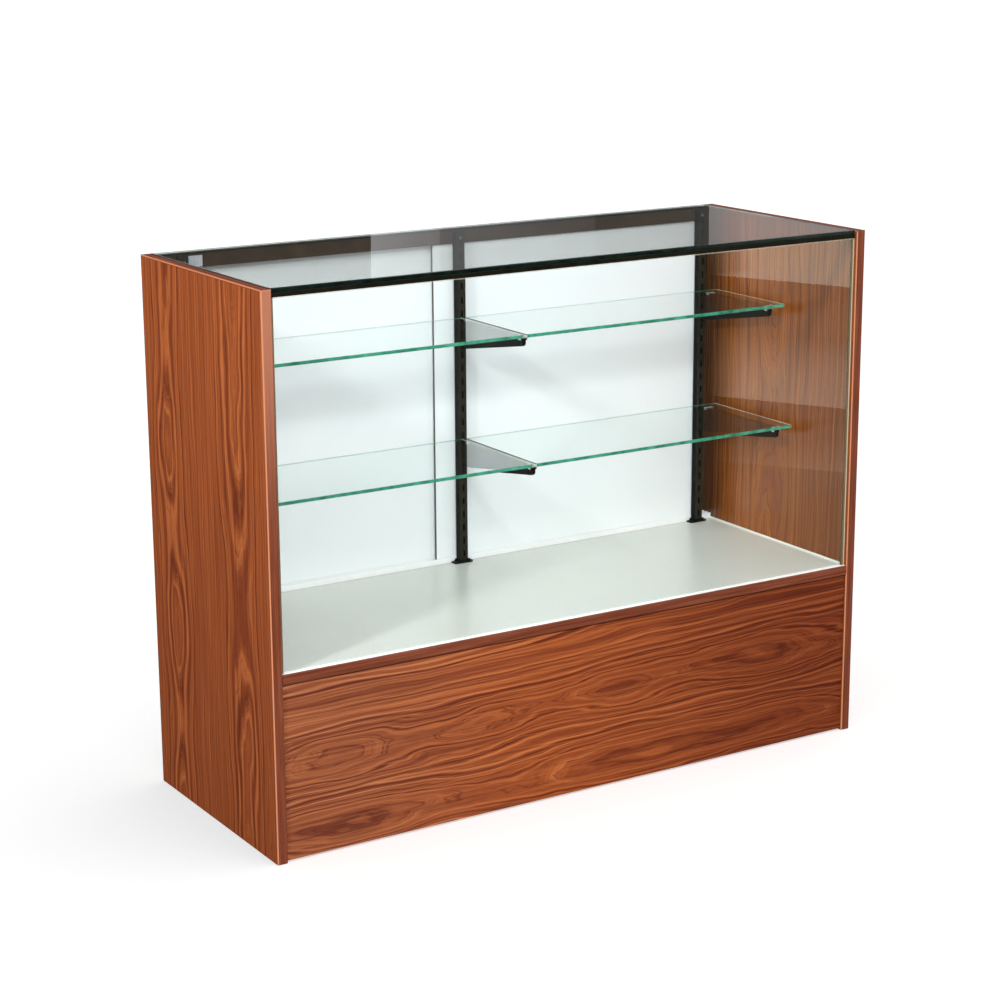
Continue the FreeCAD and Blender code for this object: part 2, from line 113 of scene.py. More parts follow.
class Tree:
    """A material's node tree, with short calls for the nodes used here."""

    def __init__(self, name):
        self.material = bpy.data.materials.new(name)
        self.material.use_nodes = True
        self.tree = self.material.node_tree
        self.tree.nodes.clear()
        self.output = self.tree.nodes.new("ShaderNodeOutputMaterial")
        self.place = self.node("ShaderNodeTexCoord").outputs["Object"]
        self.x, self.y, self.z = self.split(self.place)

    def node(self, kind, **settings):
        made = self.tree.nodes.new(kind)
        for key, value in settings.items():
            setattr(made, key, value)
        return made

    def link(self, source, socket):
        self.tree.links.new(source, socket)

    def feed(self, socket, value):
        if isinstance(value, bpy.types.NodeSocket):
            self.link(value, socket)
        elif value is not None:
            socket.default_value = value

    def split(self, vector):
        parts = self.node("ShaderNodeSeparateXYZ")
        self.link(vector, parts.inputs[0])
        return parts.outputs

    def vector(self, x, y, z):
        made = self.node("ShaderNodeCombineXYZ")
        for socket, value in zip(made.inputs, (x, y, z)):
            self.feed(socket, value)
        return made.outputs[0]

    def math(self, operation, a, b=None, c=None):
        made = self.node("ShaderNodeMath", operation=operation)
        for socket, value in zip(made.inputs, (a, b, c)):
            self.feed(socket, value)
        return made.outputs[0]

    def add(self, a, b):
        return self.math("ADD", a, b)

    def times(self, a, b):
        return self.math("MULTIPLY", a, b)

    def total(self, values):
        result = values[0]
        for value in values[1:]:
            result = self.add(result, value)
        return result

    def sway(self, noise, width):
        # Noise from 0 to 1 as a shift to either side
        return self.math("MULTIPLY_ADD", noise, width, -width / 2)

    def span(self, value, low, high, to_low=0.0, to_high=1.0, smooth=True):
        made = self.node("ShaderNodeMapRange", interpolation_type="SMOOTHSTEP" if smooth else "LINEAR")
        for socket, number in zip(made.inputs, (value, low, high, to_low, to_high)):
            self.feed(socket, number)
        return made.outputs[0]

    def spread(self, noise, low, high):
        return self.span(noise, *NOISE_RANGE, low, high)

    def noise(self, place, scale, detail=2.0, roughness=0.5):
        made = self.node("ShaderNodeTexNoise", noise_dimensions="3D")
        self.feed(made.inputs["Vector"], place)
        made.inputs["Scale"].default_value = scale
        made.inputs["Detail"].default_value = detail
        made.inputs["Roughness"].default_value = roughness
        return made.outputs["Fac"]

    def line_noise(self, value, scale, detail, roughness):
        made = self.node("ShaderNodeTexNoise", noise_dimensions="1D")
        self.feed(made.inputs["W"], value)
        made.inputs["Scale"].default_value = scale
        made.inputs["Detail"].default_value = detail
        made.inputs["Roughness"].default_value = roughness
        return made.outputs["Fac"]

    def drawn(self, along, fine, coarse):
        # Object coordinates scaled so that noise runs along one axis
        scales = [coarse if axis == along else fine for axis in "xyz"]
        places = (self.x, self.y, self.z)
        return self.vector(*[self.times(place, scale) for place, scale in zip(places, scales)])

    def ramp(self, value, stops):
        made = self.node("ShaderNodeValToRGB")
        elements = made.color_ramp.elements
        while len(elements) < len(stops):
            elements.new(0.5)
        for element, (place, colour) in zip(elements, stops):
            element.position = place
            element.color = (*colour, 1.0)
        self.feed(made.inputs[0], value)
        return made.outputs[0]

    def clouds(self, noise, dark, light):
        return self.ramp(noise, list(zip(NOISE_RANGE, (dark, light))))

    def blend(self, share, a, b, mode="MIX"):
        made = self.node("ShaderNodeMix", data_type="RGBA", blend_type=mode)
        self.feed(made.inputs[0], share)
        for socket, value in ((made.inputs[6], a), (made.inputs[7], b)):
            self.feed(socket, (*value, 1.0) if isinstance(value, tuple) else value)
        return made.outputs[2]

    def bump(self, height, strength, distance):
        made = self.node("ShaderNodeBump")
        made.inputs["Strength"].default_value = strength
        made.inputs["Distance"].default_value = distance
        self.feed(made.inputs["Height"], height)
        return made.outputs[0]

    def surface(self, colour, roughness, normal=None, **plain):
        made = self.node("ShaderNodeBsdfPrincipled")
        self.feed(made.inputs["Base Color"], (*colour, 1.0) if isinstance(colour, tuple) else colour)
        self.feed(made.inputs["Roughness"], roughness)
        if normal is not None:
            self.link(normal, made.inputs["Normal"])
        if "Emission_Strength" in plain:
            made.inputs["Emission Color"].default_value = (1.0, 1.0, 1.0, 1.0)
        for key, value in plain.items():
            made.inputs[key.replace("_", " ")].default_value = value
        return made.outputs[0]

    def mix(self, share, first, second):
        made = self.node("ShaderNodeMixShader")
        self.feed(made.inputs[0], share)
        self.link(first, made.inputs[1])
        self.link(second, made.inputs[2])
        return made.outputs[0]

    def normal(self):
        # The face's own normal in object coordinates, as three sockets
        geometry = self.node("ShaderNodeNewGeometry")
        turned = self.node("ShaderNodeVectorTransform", vector_type="NORMAL")
        turned.convert_from = "WORLD"
        turned.convert_to = "OBJECT"
        self.link(geometry.outputs["True Normal"], turned.inputs[0])
        return self.split(turned.outputs[0])

    def facing(self, axis):
        return self.math("ABSOLUTE", self.normal()["xyz".index(axis)])

    def attribute(self, label):
        return self.node("ShaderNodeAttribute", attribute_name=label).outputs["Fac"]

    def ray(self, kind):
        return self.node("ShaderNodeLightPath").outputs[kind]

    def done(self, shader):
        self.link(shader, self.output.inputs["Surface"])
        return self.material


# Cherry laminate: growth rings cut flat, so each heart line draws flames, eyes and arches
CHERRY_DARK = linear(90, 37, 19)
CHERRY_BROWN = linear(120, 56, 29)
CHERRY_MID = linear(145, 74, 36)
CHERRY_LIGHT = linear(167, 91, 46)
CHERRY_PALE = linear(188, 113, 64)
RING_STOPS = [
    (0.34, CHERRY_DARK),
    (0.43, CHERRY_BROWN),
    (0.52, CHERRY_MID),
    (0.61, CHERRY_LIGHT),
    (0.72, CHERRY_PALE),
]
# Tint that the painted shade multiplies the print by
PAINTED_SHADE_TINT = (0.35, 0.24, 0.28)
# Noise along the grain: how fine across it and along it, detail, roughness
DRIFT = (8.0, 2.2, 2.0, 0.5)
WANDER = (36.0, 3.0, 2.0, 0.4)
RIPPLE = (130.0, 5.0, 2.0, 0.5)
TONGUE = (14.0, 3.6, 3.0, 0.55)
FAINT = (16.0, 2.0, 1.0, 0.5)
FIBRE = (300.0, 3.0, 4.0, 0.7)
PORE = (1500.0, 55.0, 1.0, 0.5)
# How far that noise shifts the rings, in metres
DRIFT_WIDTH = 0.060
WANDER_WIDTH = 0.012
TONGUE_DEPTH = 0.034
RIPPLE_DEPTH = 0.0030
# Change of the print through the board's thickness
LAYERS = 55.0
# Rings are calmer where they are cut flat, and fine lines run between them
CALM = (0.55, 1.0, 0.0, 0.25)
CALM_RING = 0.50
RING_DETAIL = (4.0, 0.68)
LINES_PER_RING = 2.6
LINE_DETAIL = (2.0, 0.6)
DARK_LINE = (0.44, 0.33)
DARK_LINE_SHARE = (0.25, 0.90)
PALE_LINE = (0.60, 0.72)
PALE_LINE_SHARE = (0.10, 0.70)
FAINT_RANGE = (0.35, 0.65)
# Fibres and pores: noise from and to, share of their colour at each
DARK_FIBRE = (0.48, 0.70, 0.0, 0.65)
LIGHT_FIBRE = (0.50, 0.30, 0.0, 0.60)
DARK_PORE = (0.62, 0.74, 0.0, 0.32)
# Roughness, gloss and depth of the pores
SATIN = (0.42, 0.06, 0.02)
POLISHED = (0.22, 0.35, 0.0)
ROUGH_PLAY = 0.03
PRESS_HEIGHT = 0.0003

# Heart lines of each panel: place across the grain, drift, depth of the pith, swells along the grain
KICK_HEARTS = [
    (0.176, 0.028, 0.048, [(0.38, 0.150, -0.020), (0.085, 0.115, -0.015), (-0.200, 0.110, -0.014),
                           (-0.500, 0.110, -0.011)]),
    (0.042, 0.000, 0.046, [(-0.450, 0.160, -0.018), (0.120, 0.200, -0.014), (0.420, 0.170, -0.010)]),
]
LEFT_HEARTS = [
    (-0.125, 0.000, 0.030, [(0.430, 0.170, 0.022)]),
    (0.140, 0.000, 0.046, [(0.650, 0.100, -0.014), (0.310, 0.110, -0.015), (-0.020, 0.110, -0.016)]),
]
RIGHT_HEARTS = [
    (0.006, 0.000, 0.028, [(0.600, 0.150, 0.026)]),
]
# Painted shade along the grain: from, to, and its share at each; the end panels are painted darker towards
# the bottom, the kick panel darker towards its right end
LEFT_PAINTED_SHADE = (0.92, 0.20, 0.0, 0.22)
RIGHT_PAINTED_SHADE = (0.85, 0.45, 0.0, 0.18)
KICK_PAINTED_SHADE = (-0.25, 0.60, 0.05, 0.72)


class Grain:
    """Noise drawn out along the grain of one panel."""

    def __init__(self, t, across, along, seed):
        depth = "xyz".replace(across, "").replace(along, "")
        self.tree = t
        self.across = getattr(t, across)
        self.along = getattr(t, along)
        self.side = t.math("MULTIPLY_ADD", getattr(t, depth), LAYERS, seed)

    def streaks(self, fine, coarse, detail, roughness):
        t = self.tree
        place = t.vector(t.times(self.across, fine), t.times(self.along, coarse), self.side)
        return t.noise(place, 1.0, detail, roughness)


def swell(t, value, place, width, height):
    # A smooth bump of the given height along one direction
    u = t.math("DIVIDE", t.add(value, -place), width)
    return t.times(t.math("POWER", math.e, t.times(t.times(u, u), -1.0)), height)


def heart(t, u, v, tongue, centre, drift, depth, swells):
    # Distance from the pith, and how flat the rings are cut: they open out where the depth falls
    aside = t.add(u, t.math("MULTIPLY_ADD", v, -drift, -centre))
    below = t.total([swell(t, v, *s) for s in swells] + [tongue, depth])
    away = t.math("SQRT", t.add(t.times(aside, aside), t.times(below, below)))
    return away, t.math("DIVIDE", below, away)


def nearest_heart(t, grain, hearts):
    drift = t.sway(grain.streaks(*DRIFT), DRIFT_WIDTH)
    wander = t.sway(grain.streaks(*WANDER), WANDER_WIDTH)
    tongue = t.sway(grain.streaks(*TONGUE), TONGUE_DEPTH)
    bent = t.total([grain.across, drift, wander])
    field, flat = heart(t, bent, grain.along, tongue, *hearts[0])
    for other in hearts[1:]:
        away, open_here = heart(t, bent, grain.along, tongue, *other)
        field = t.math("MINIMUM", field, away)
        flat = t.math("MAXIMUM", flat, open_here)
    return field, flat


def ring_print(t, grain, field, flat, width, figure):
    # Rings of the given width and strength of figure, with dark and pale lines between
    calm = t.span(flat, *CALM)
    ring = t.line_noise(field, 1.0 / width, *RING_DETAIL)
    ring = t.add(t.times(ring, t.math("SUBTRACT", 1.0, calm)), t.times(calm, CALM_RING))
    ring = t.math("MULTIPLY_ADD", ring, figure, 0.5 - 0.5 * figure)
    colour = t.ramp(ring, RING_STOPS)
    line = t.line_noise(field, LINES_PER_RING / width, *LINE_DETAIL)
    faint = grain.streaks(*FAINT)
    dark_share = t.span(faint, *FAINT_RANGE, *scaled(DARK_LINE_SHARE, figure))
    pale_share = t.span(faint, *reversed(FAINT_RANGE), *scaled(PALE_LINE_SHARE, figure))
    colour = t.blend(t.times(t.span(line, *DARK_LINE), dark_share), colour, CHERRY_DARK)
    return t.blend(t.times(t.span(line, *PALE_LINE), pale_share), colour, CHERRY_PALE)


def cherry(name, across, along, hearts, shade, finish, touch, seed, width, figure):
    t = Tree(name)
    grain = Grain(t, across, along, seed)
    field, flat = nearest_heart(t, grain, hearts)
    field = t.add(field, t.math("MULTIPLY_ADD", grain.streaks(*RIPPLE), RIPPLE_DEPTH, seed))
    colour = ring_print(t, grain, field, flat, width, figure)
    fibre = grain.streaks(*FIBRE)
    colour = t.blend(t.span(fibre, *DARK_FIBRE), colour, CHERRY_DARK)
    colour = t.blend(t.span(fibre, *LIGHT_FIBRE), colour, CHERRY_LIGHT)
    # Painted shade: the print darkens along the grain where less light falls
    colour = t.blend(t.span(grain.along, *shade), colour, PAINTED_SHADE_TINT, "MULTIPLY")
    pore = grain.streaks(*PORE)
    colour = t.blend(t.span(pore, *DARK_PORE), colour, CHERRY_DARK)
    colour = touch(t, colour)
    rough, gloss, pore_depth = finish
    roughness = t.spread(fibre, rough - ROUGH_PLAY, rough + ROUGH_PLAY)
    pores = t.bump(pore, pore_depth, PRESS_HEIGHT)
    return t.done(t.surface(colour, roughness, pores, Specular_IOR_Level=gloss))


# Left panel: how deep its outer face reaches, and its colour for light that bounces off it
OUTER_SKIN = 0.0005
OUTER_FACE = reach("left_end_panel", "x")[0] + OUTER_SKIN
NO_BOUNCE = (0.01, 0.01, 0.01)
# Right panel: how deep its inner face reaches, then painted light and painted shade on that face from front
# to rear: it is painted brighter towards the rear and darker in its rear corner
INNER_SKIN = 0.0045
INNER_FACE = reach("right_end_panel", "x")[0] + INNER_SKIN
PAINTED_LIGHT_REACH = (-0.18, 0.12)
PAINTED_LIGHT_FRONT = (0.87, 1.03, 0.70)
PAINTED_LIGHT_REAR = (1.33, 1.57, 0.96)
PAINTED_CORNER_SHADE_REACH = (0.117, 0.203)
PAINTED_CORNER_SHADE = (0.30, 0.38, 0.62)
# Kick panel: painted reflection that makes it less orange towards its left end, and a painted shadow under
# the deck's front band, with its start and full depth below the top edge
PAINTED_REFLECTION_REACH = (-0.05, -0.50)
PAINTED_REFLECTION_TINT = (0.87, 1.05, 1.55)
KICK_TOP = reach("front_kick_panel", "z")[1]
SEAM_SHADOW_START = 0.0040
SEAM_SHADOW_FULL = 0.0016
SEAM_SHADOW_SHARE = 0.85
SEAM_SHADOW_DARK = linear(40, 16, 9)


def left_panel_touch(t, colour):
    # The outer face throws no light on the floor, so the shadow beside it stays grey
    outside = t.math("LESS_THAN", t.x, OUTER_FACE)
    return t.blend(t.times(t.ray("Is Diffuse Ray"), outside), colour, NO_BOUNCE)


def right_panel_touch(t, colour):
    # Painted light brightens the inner face towards the rear, and painted shade darkens its rear corner
    inside = t.math("LESS_THAN", t.x, INNER_FACE)
    painted_light = t.blend(t.span(t.y, *PAINTED_LIGHT_REACH), PAINTED_LIGHT_FRONT, PAINTED_LIGHT_REAR)
    colour = t.blend(inside, colour, painted_light, "MULTIPLY")
    # Painted shade in the rear corner
    corner = t.times(inside, t.span(t.y, *PAINTED_CORNER_SHADE_REACH, smooth=False))
    return t.blend(corner, colour, PAINTED_CORNER_SHADE, "MULTIPLY")


def kick_panel_touch(t, colour):
    # Painted reflection makes the left end less orange, and a painted shadow runs under the deck's front
    # band
    colour = t.blend(t.span(t.x, *PAINTED_REFLECTION_REACH), colour, PAINTED_REFLECTION_TINT, "MULTIPLY")
    # Painted shadow below the top edge, under the deck's overhanging band
    seam_shadow = t.span(t.z, KICK_TOP - SEAM_SHADOW_START, KICK_TOP - SEAM_SHADOW_FULL, 0.0, SEAM_SHADOW_SHARE)
    return t.blend(seam_shadow, colour, SEAM_SHADOW_DARK)


# Thick edge bands: a plainer print with fine streaks along their length, with painted light and shade:
# upright bands are darker copies of the print, the left front band is painted paler towards the top, and
# arrises facing left carry a painted highlight
EDGE_STOPS = [(0.32, linear(100, 46, 28)), (0.50, linear(120, 60, 38)), (0.70, linear(140, 76, 50))]
EDGE_CLOUD_TONE = linear(104, 48, 28)
EDGE_PAINTED_LIGHT = linear(196, 134, 106)
ARRIS_PAINTED_HIGHLIGHT = linear(180, 118, 84)
EDGE_CLOUD_RANGE = (0.35, 0.7, 0.0, 0.35)
PAINTED_LIGHT_RISE = (0.50, 0.95)
ARRIS_HIGHLIGHT_TURN = (0.10, 0.35)
STREAKS = (380.0, 9.0)
CLOUDS_PER_STREAK = 1 / 14


def cherry_edge(name, along, light=1.0, pale=0.0):
    t = Tree(name)
    streak = t.noise(t.drawn(along, *STREAKS), scale=1.0, detail=3.0, roughness=0.6)
    cloud = t.noise(t.drawn(along, *scaled(STREAKS, CLOUDS_PER_STREAK)), scale=1.0)
    # light scales the print: below 1 it is a painted-shade copy for bands that face the front
    colour = t.ramp(streak, [(place, scaled(tone, light)) for place, tone in EDGE_STOPS])
    colour = t.blend(t.span(cloud, *EDGE_CLOUD_RANGE), colour, scaled(EDGE_CLOUD_TONE, light))
    # Painted light: paler towards the top
    colour = t.blend(t.span(t.z, *PAINTED_LIGHT_RISE, 0.0, pale), colour, EDGE_PAINTED_LIGHT)
    nx, ny, nz = t.normal()
    turned = t.times(t.times(nx, -1.0), t.math("MAXIMUM", t.times(ny, -1.0), nz))
    # Painted highlight on arrises that face left
    colour = t.blend(t.span(turned, *ARRIS_HIGHLIGHT_TURN), colour, ARRIS_PAINTED_HIGHLIGHT)
    rough = t.spread(streak, low=0.30, high=0.40)
    press = t.bump(streak, strength=0.04, distance=PRESS_HEIGHT)
    return t.done(t.surface(colour, rough, press, Specular_IOR_Level=0.2))


# Painted shadow on the deck against the door track, and pale sealant along the foot of the front pane
TRACK_FRONT = reach("lower_door_track", "y")[0]
TRACK_SHADOW_TONE = linear(140, 142, 134)
TRACK_SHADOW_SHARE = 0.6
TRACK_SHADOW_WIDTH = 0.008
SEALANT = linear(254, 255, 252)
SEALANT_WIDTH = 0.0025
SEALANT_FADE = 0.001
SEALANT_REAR = reach("front_glass", "y")[1] + SEALANT_WIDTH


def deck_touch(t, colour):
    # Painted shadow: the deck darkens just in front of the door track
    track_shadow = t.span(t.y, TRACK_FRONT - TRACK_SHADOW_WIDTH, TRACK_FRONT, 0.0, TRACK_SHADOW_SHARE)
    colour = t.blend(track_shadow, colour, TRACK_SHADOW_TONE)
    return t.blend(t.span(t.y, SEALANT_REAR + SEALANT_FADE, SEALANT_REAR), colour, SEALANT)


# How far a face turns from front or rear before the board's core shows
CORE_TURN = (0.90, 0.50)
PEEL_PLAY = 0.05


def white_board(name, tone, mottle, rough, core=None, gloss=0.5, touch=None):
    # Melamine face: faint clouds and an orange-peel press texture
    t = Tree(name)
    cloud = t.noise(t.place, scale=5.0, detail=3.0)
    peel = t.noise(t.place, scale=900.0)
    colour = t.clouds(cloud, mottle, tone)
    if core is not None:
        colour = t.blend(t.span(t.facing("y"), *CORE_TURN), colour, core)
    if touch is not None:
        colour = touch(t, colour)
    roughness = t.spread(peel, rough - PEEL_PLAY, rough + PEEL_PLAY)
    press = t.bump(peel, strength=0.08, distance=PRESS_HEIGHT)
    return t.done(t.surface(colour, roughness, press, Specular_IOR_Level=gloss))


# Height of the fine lines that drawn plastic and metal have
DRAWN_HEIGHT = 0.0002


def white_plastic(name, tone, along="x"):
    # Extruded plastic: faint lines along its length
    t = Tree(name)
    lines = t.noise(t.drawn(along, fine=300.0, coarse=4.0), scale=1.0)
    colour = t.clouds(lines, scaled(tone, 0.94), tone)
    rough = t.spread(lines, low=0.28, high=0.36)
    return t.done(t.surface(colour, rough, t.bump(lines, strength=0.05, distance=DRAWN_HEIGHT)))


# Glass: share of lamp light that each pane passes, tint of its faces, tones of its edges
PASSED_UPRIGHT = (0.955, 0.964, 0.965)
PASSED_TOP = (0.885, 0.896, 0.896)
PASSED_SHELF = (0.900, 0.915, 0.915)
UPRIGHT_TINT = linear(249, 253, 253)
TOP_TINT = linear(246, 251, 249)
SHELF_TINT = linear(247, 252, 250)
# Edge tones are partly the glass's own green and partly painted light: the shelves' edges painted bright as
# if lit through the glass, the top pane's front edge near black as if mirroring the dark channel, and its
# rear edge painted pale
UPRIGHT_EDGE = (linear(30, 82, 66), linear(70, 130, 108))
TOP_EDGE = (linear(5, 14, 10), linear(12, 34, 26))
TOP_REAR_EDGE_PAINTED_LIGHT = linear(176, 196, 188)
SHELF_EDGE = (linear(30, 118, 90), linear(84, 182, 148))
END_PALE = linear(218, 222, 208)
END_LINE = linear(92, 98, 94)
GLASS_BEND = 1.5
TOP_BEND = 1.17
# Noise where a smear starts and is full, and its roughness at each
SMEAR = (0.5, 0.8, 0.0, 0.012)
# Where the top pane's edge turns from the front's tone to the rear's painted-light tone
REAR_EDGE_REACH = (-0.05, 0.05)
# How far a face turns towards the sheet's own axis, or the axis of its ends
FACE_TURN = (0.90, 0.97)
END_TURN = (0.60, 0.70)
END_STOPS = [(0.70, END_PALE), (0.78, END_LINE)]


def glass(name, across, tint, passed, edge_tones, mirror,
          ends=None, far_edge=None, edge_gloss=0.5, bend=GLASS_BEND):
    # Clear faces that let lamps through, and ground edges in tones that are partly the green of the sheet's
    # depth and partly painted light
    t = Tree(name)
    smear = t.noise(t.place, scale=14.0)
    clear = t.surface(tint, t.span(smear, *SMEAR),
                      Transmission_Weight=1.0, IOR=bend, Specular_IOR_Level=mirror)
    streak = t.noise(t.place, scale=60.0, roughness=0.6)
    colour = t.clouds(streak, *edge_tones)
    if far_edge is not None:
        # Painted light: the top pane's rear edge is painted pale
        colour = t.blend(t.span(t.y, *REAR_EDGE_REACH), colour, far_edge)
    edge = t.surface(colour, t.spread(streak, low=0.10, high=0.22),
                     Transmission_Weight=0.25, IOR=GLASS_BEND, Specular_IOR_Level=edge_gloss)
    if ends is not None:
        rise = t.split(t.node("ShaderNodeTexCoord").outputs["Generated"])[2]
        rough = t.spread(streak, low=0.30, high=0.40)
        end = t.surface(t.ramp(rise, END_STOPS), rough, Specular_IOR_Level=0.2)
        edge = t.mix(t.span(t.facing(ends), *END_TURN, smooth=False), edge, end)
    sheet_faces = t.span(t.facing(across), *FACE_TURN, smooth=False)
    lit = t.math("MAXIMUM", t.ray("Is Shadow Ray"), t.ray("Is Diffuse Ray"))
    through = t.node("ShaderNodeBsdfTransparent")
    through.inputs["Color"].default_value = (*passed, 1.0)
    return t.done(t.mix(lit, t.mix(sheet_faces, edge, clear), through.outputs[0]))


# Vinyl seals: painted shade darkens the lip that turns inward beside the front pane
LIP_LAP = 0.0002
LIP_START = reach("front_glass", "x")[1] - LIP_LAP
LIP_FADE = 0.0008
VINYL_BEND = 1.46


def vinyl(name, tone, clear, lip=None, open_share=0.0):
    t = Tree(name)
    lines = t.noise(t.drawn("z", fine=90.0, coarse=5.0), scale=1.0)
    colour = t.clouds(lines, scaled(tone, 0.92), tone)
    if lip is not None:
        # Painted shade on the inward lip
        inward = t.span(t.math("ABSOLUTE", t.x), LIP_START, LIP_START - LIP_FADE)
        colour = t.blend(inward, colour, lip)
    rough = t.spread(lines, low=0.25, high=0.38)
    ripples = t.bump(lines, strength=0.04, distance=DRAWN_HEIGHT)
    body = t.surface(colour, rough, ripples, Transmission_Weight=clear, IOR=VINYL_BEND)
    if open_share:
        body = t.mix(open_share, body, t.node("ShaderNodeBsdfTransparent").outputs[0])
    return t.done(body)


def drawn_metal(name, along, tone, metal, rough):
    # Drawn metal: fine lines along its length, faint cloudy wear
    t = Tree(name)
    lines = t.noise(t.drawn(along, fine=900.0, coarse=6.0), scale=1.0, roughness=0.6)
    cloud = t.noise(t.place, scale=26.0, detail=3.0, roughness=0.6)
    colour = t.ramp(cloud, [(0.3, scaled(tone, 0.75)), (0.75, scaled(tone, 1.3))])
    roughness = t.add(t.spread(lines, *rough), t.spread(cloud, -ROUGH_PLAY, ROUGH_PLAY))
    drawing = t.bump(lines, strength=0.06, distance=DRAWN_HEIGHT)
    return t.done(t.surface(colour, roughness, drawing, Metallic=metal))


# How far a coated face turns to the front before it takes its front tone, which is painted light, lighter
# than the sides
FRONT_TURN = (0.10, 0.70)


def coated(name, tone, rough, grain_scale, gloss=0.5, front=None):
    # Powder coat, moulded plastic or rubber: a fine even grain, and painted light on faces that turn to the
    # front when a front tone is given
    t = Tree(name)
    grain = t.noise(t.place, grain_scale, roughness=0.6)
    cloud = t.noise(t.place, scale=30.0)
    colour = t.clouds(cloud, scaled(tone, 0.8), scaled(tone, 1.25))
    if front is not None:
        forward = t.times(t.normal()[1], -1.0)
        colour = t.blend(t.span(forward, *FRONT_TURN), colour, front)
    press = t.bump(grain, strength=0.12, distance=PRESS_HEIGHT)
    return t.done(t.surface(colour, t.spread(grain, *rough), press, Specular_IOR_Level=gloss))


looks = {}


def wood_looks():
    looks["left_end_panel"] = cherry("cherry_left_end", "y", "z", LEFT_HEARTS, LEFT_PAINTED_SHADE, SATIN,
                                     left_panel_touch, seed=1.7, width=0.006, figure=0.8)
    looks["right_end_panel"] = cherry("cherry_right_end", "y", "z", RIGHT_HEARTS, RIGHT_PAINTED_SHADE, POLISHED,
                                      right_panel_touch, seed=5.3, width=0.008, figure=0.70)
    looks["front_kick_panel"] = cherry("cherry_kick", "z", "x", KICK_HEARTS, KICK_PAINTED_SHADE, SATIN,
                                       kick_panel_touch, seed=9.1, width=0.010, figure=1.0)
    upright = cherry_edge("cherry_edge_upright", "z", light=0.75)
    top = cherry_edge("cherry_edge_top", "y")
    for side in ("left", "right"):
        looks[side + "_front_edge_band"] = upright
        looks[side + "_rear_edge_band"] = upright
        looks[side + "_top_edge_band"] = top
    looks["left_front_edge_band"] = cherry_edge("cherry_edge_left_front", "z", light=0.85, pale=0.42)
    looks["deck_front_edge_band"] = cherry_edge("cherry_edge_deck", "x", light=0.75)


def white_looks():
    board = white_board("white_melamine", linear(223, 227, 220), linear(219, 223, 215), rough=0.34)
    door = white_board("white_door_board", linear(246, 250, 251), linear(243, 247, 248),
                       rough=0.42, core=linear(74, 62, 48))
    cup = white_plastic("white_cup_plastic", linear(238, 240, 238), "z")
    for name in ("storage_floor", "storage_floor_rail", "kick_cleats"):
        looks[name] = board
    for side in ("left", "right"):
        looks[side + "_door_panel"] = door
        looks[side + "_finger_cup"] = cup
    looks["display_deck"] = white_board("white_deck_melamine", linear(217, 221, 212), linear(213, 217, 208),
                                        rough=0.27, gloss=0.9, touch=deck_touch)
    looks["deck_rear_edge_band"] = white_plastic("white_edge_strip", linear(236, 239, 235))
    looks["deck_end_beads"] = white_plastic("white_corner_bead", linear(224, 226, 216), "y")
    looks["lower_door_track"] = white_plastic("white_track_plastic", linear(252, 253, 252))
    looks["rail_clip_plate"] = white_plastic("pale_clip_plastic", linear(214, 214, 222), "z")


def glass_looks():
    shelf = glass("shelf_glass", "z", SHELF_TINT, PASSED_SHELF, SHELF_EDGE, mirror=0.4, ends="x")
    for side in ("left", "right"):
        looks[side + "_upper_shelf"] = shelf
        looks[side + "_lower_shelf"] = shelf
    looks["front_glass"] = glass("front_pane_glass", "y", UPRIGHT_TINT, PASSED_UPRIGHT, UPRIGHT_EDGE,
                                 mirror=0.06)
    looks["top_glass"] = glass("top_pane_glass", "z", TOP_TINT, PASSED_TOP, TOP_EDGE, mirror=0.5,
                               far_edge=TOP_REAR_EDGE_PAINTED_LIGHT, edge_gloss=0.15, bend=TOP_BEND)


def soft_looks():
    seal = vinyl("beige_vinyl_seal", linear(214, 200, 176), clear=0.25, lip=linear(122, 98, 72))
    rubber = coated("black_gasket_rubber", linear(22, 24, 24), (0.45, 0.62), 1500.0)
    tape = coated("black_foam_tape", linear(28, 29, 28), (0.60, 0.75), 900.0, gloss=0.1)
    for side in ("left", "right"):
        looks[side + "_glass_seal"] = seal
        looks[side + "_top_gasket"] = rubber
    looks["front_glazing_tape"] = tape
    looks["rear_glazing_tape"] = tape
    looks["front_glass_top_seal"] = vinyl("clear_vinyl_strip", linear(205, 196, 178), clear=0.3,
                                          open_share=0.7)
    looks["front_glass_setting_strip"] = vinyl("white_setting_strip", linear(238, 240, 236), clear=0.2)
    looks["shelf_pads"] = vinyl("clear_pad_vinyl", linear(236, 240, 236), clear=0.6)


def dark_looks():
    black = linear(14, 13, 10)
    bracket = coated("black_coated_steel", black, (0.34, 0.46), 1400.0, gloss=0.06)
    # Painted light: the standards' front faces are painted lighter than their black sides
    standard = coated("black_steel_painted_light_front", black, (0.34, 0.46), 1400.0, gloss=0.06,
                      front=linear(44, 42, 33))
    foot = coated("black_foot_plastic", linear(14, 14, 12), (0.38, 0.52), 1600.0, gloss=0.08)
    for place in ("left", "centre", "right"):
        looks[place + "_standard"] = standard
        looks[place + "_upper_bracket"] = bracket
        looks[place + "_lower_bracket"] = bracket
        looks[place + "_standard_foot"] = foot
    looks["front_top_channel"] = drawn_metal("bronze_anodised_channel", "x", linear(38, 36, 26),
                                             metal=0.80, rough=(0.28, 0.42))
    looks["rear_top_rail"] = coated("bronze_coated_rail", linear(66, 50, 34), (0.36, 0.48), 1400.0,
                                    gloss=0.06)
    looks["rail_end_blocks"] = coated("black_moulded_blocks", linear(30, 30, 30), (0.4, 0.55), 1200.0)
    zinc = drawn_metal("zinc_steel", "z", linear(196, 196, 192), metal=1.0, rough=(0.22, 0.36))
    for name in ("standard_top_screws", "cam_locks", "cam_bolts"):
        looks[name] = zinc


